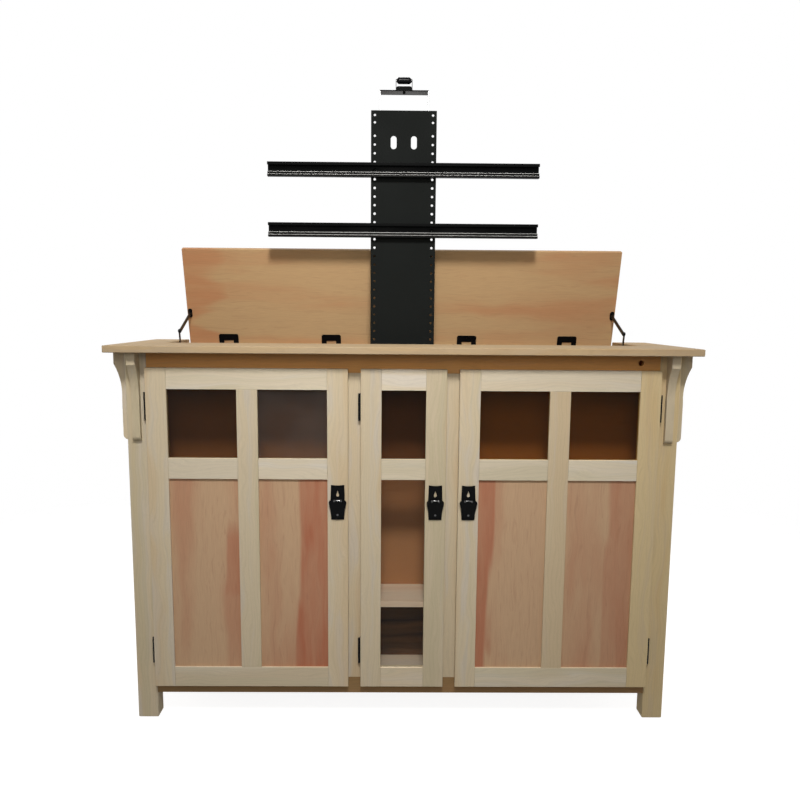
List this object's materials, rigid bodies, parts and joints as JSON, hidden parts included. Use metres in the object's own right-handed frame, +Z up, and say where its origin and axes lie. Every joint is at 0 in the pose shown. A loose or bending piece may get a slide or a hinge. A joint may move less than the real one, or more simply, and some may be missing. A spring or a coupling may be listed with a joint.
{
  "type": "tv lift cabinet",
  "caption": "Mission style wood cabinet with glazed and panelled doors, corbels, a flip-top lid on folding stays and a motor-driven mast that raises crossbars for a flat screen.",
  "frame": {"origin": "on the floor, under the middle of the box round the whole object with its lid open and its lift raised", "axes": "+Z up; -Y out of the doors; +X to the right of a person who faces the doors; the lid's hinge line and the crossbars run along X"},
  "size_m": [1.6, 0.5879, 1.8638],
  "materials": {
    "hardwood": "matt, unfinished",
    "plywood": "matt, unfinished",
    "reddish_plywood": "matt, unfinished",
    "glass": "clear",
    "black_hardware": "satin black",
    "black_powder_coat": "powder coated",
    "grey_steel": "satin",
    "bright_steel": "ground",
    "grey_cast": "cast",
    "black_plastic": "fine grain",
    "black_roller": "smooth",
    "brown_plastic": "smooth",
    "white_nylon": "smooth"
  },
  "bodies": {
    "cabinet": {"front_legs": "hardwood", "rear_legs": "hardwood", "top_boards": "hardwood", "front_corbels": "hardwood", "side_corbels": "hardwood", "face_rails": "hardwood", "face_stiles": "hardwood", "side_frames": "hardwood", "back_rails": "hardwood", "bay_dividers": "hardwood", "shelves": "hardwood", "shelf_cleats": "hardwood", "lid_support_rails": "hardwood", "side_panels": "plywood", "back_panel": "plywood", "partition_panel": "plywood", "bottom_board": "plywood", "lid_hinge_rail_leaves": "black_hardware", "stay_cabinet_brackets": "black_hardware", "door_hinge_frame_leaves": "black_hardware", "door_catches": "brown_plastic", "lift_guide_frame": "black_powder_coat", "lead_screw": "bright_steel", "control_box": "black_plastic"},
    "lid": {"lid_panel": "reddish_plywood", "lid_hinge_leaves": "black_hardware", "lid_stay_plates": "black_hardware"},
    "left_stay_upper": {"left_stay_upper_arm": "black_hardware"},
    "left_stay_lower": {"left_stay_lower_arm": "black_hardware"},
    "right_stay_upper": {"right_stay_upper_arm": "black_hardware"},
    "right_stay_lower": {"right_stay_lower_arm": "black_hardware"},
    "lift": {"mast_channel": "black_powder_coat", "crossbars": "black_powder_coat", "lift_bolts": "black_hardware", "lid_pusher_bracket": "grey_steel", "guide_pads": "white_nylon", "drive_gearbox": "grey_cast"},
    "roller": {"lid_roller": "black_roller"},
    "left_door": {"left_door_stiles": "hardwood", "left_door_rails": "hardwood", "left_door_glass": "glass", "left_door_panels": "reddish_plywood", "left_door_fittings": "black_hardware", "left_pull_plate": "black_hardware"},
    "left_pull": {"left_pull_drop": "black_hardware"},
    "centre_door": {"centre_door_stiles": "hardwood", "centre_door_rails": "hardwood", "centre_door_glass": "glass", "centre_door_fittings": "black_hardware", "centre_pull_plate": "black_hardware"},
    "centre_pull": {"centre_pull_drop": "black_hardware"},
    "right_door": {"right_door_stiles": "hardwood", "right_door_rails": "hardwood", "right_door_glass": "glass", "right_door_panels": "reddish_plywood", "right_door_fittings": "black_hardware", "right_pull_plate": "black_hardware"},
    "right_pull": {"right_pull_drop": "black_hardware"}
  },
  "joints": [
    {"name": "lid_hinge", "type": "hinge", "parent": "cabinet", "child": "lid", "pos_m": [0, 0.27621, 1.056], "axis": [-1, 0, 0], "range_deg": [0, 25]},
    {"name": "left_stay_lid_pivot", "type": "hinge", "parent": "lid", "child": "left_stay_upper", "pos_m": [-0.6796, 0.23657, 1.15892], "axis": [-1, 0, 0], "range_deg": [-27, 0]},
    {"name": "left_stay_cabinet_pivot", "type": "hinge", "parent": "cabinet", "child": "left_stay_lower", "pos_m": [-0.6824, 0.11991, 1], "axis": [-1, 0, 0], "range_deg": [0, 25.5]},
    {"name": "right_stay_lid_pivot", "type": "hinge", "parent": "lid", "child": "right_stay_upper", "pos_m": [0.6796, 0.23657, 1.15892], "axis": [-1, 0, 0], "range_deg": [-27, 0]},
    {"name": "right_stay_cabinet_pivot", "type": "hinge", "parent": "cabinet", "child": "right_stay_lower", "pos_m": [0.6824, 0.11991, 1], "axis": [-1, 0, 0], "range_deg": [0, 25.5]},
    {"name": "lift_travel", "type": "slide", "parent": "cabinet", "child": "lift", "axis": [0, 0, 1], "range_m": [-0.809, 0]},
    {"name": "roller_spin", "type": "hinge", "parent": "lift", "child": "roller", "pos_m": [0, 0.14791, 1.854], "axis": [1, 0, 0], "continuous": true},
    {"name": "left_door_hinge", "type": "hinge", "parent": "cabinet", "child": "left_door", "pos_m": [-0.7092, -0.22819, 0.5595], "axis": [0, 0, -1], "range_deg": [0, 90]},
    {"name": "centre_door_hinge", "type": "hinge", "parent": "cabinet", "child": "centre_door", "pos_m": [-0.1222, -0.22819, 0.5595], "axis": [0, 0, -1], "range_deg": [0, 110]},
    {"name": "right_door_hinge", "type": "hinge", "parent": "cabinet", "child": "right_door", "pos_m": [0.7092, -0.22819, 0.5595], "axis": [0, 0, 1], "range_deg": [0, 90]},
    {"name": "left_pull_swing", "type": "hinge", "parent": "left_door", "child": "left_pull", "pos_m": [-0.1815, -0.24879, 0.6505], "axis": [-1, 0, 0], "range_deg": [0, 80]},
    {"name": "centre_pull_swing", "type": "hinge", "parent": "centre_door", "child": "centre_pull", "pos_m": [0.0895, -0.24879, 0.6505], "axis": [-1, 0, 0], "range_deg": [0, 80]},
    {"name": "right_pull_swing", "type": "hinge", "parent": "right_door", "child": "right_pull", "pos_m": [0.1815, -0.24879, 0.6505], "axis": [-1, 0, 0], "range_deg": [0, 80]}
  ],
  "couplings": [
    {"joint": "left_stay_lid_pivot", "follows": "lid_hinge", "ratio": -1.0703},
    {"joint": "left_stay_cabinet_pivot", "follows": "lid_hinge", "ratio": 1.0138},
    {"joint": "right_stay_lid_pivot", "follows": "lid_hinge", "ratio": -1.0703},
    {"joint": "right_stay_cabinet_pivot", "follows": "lid_hinge", "ratio": 1.0138}
  ]
}
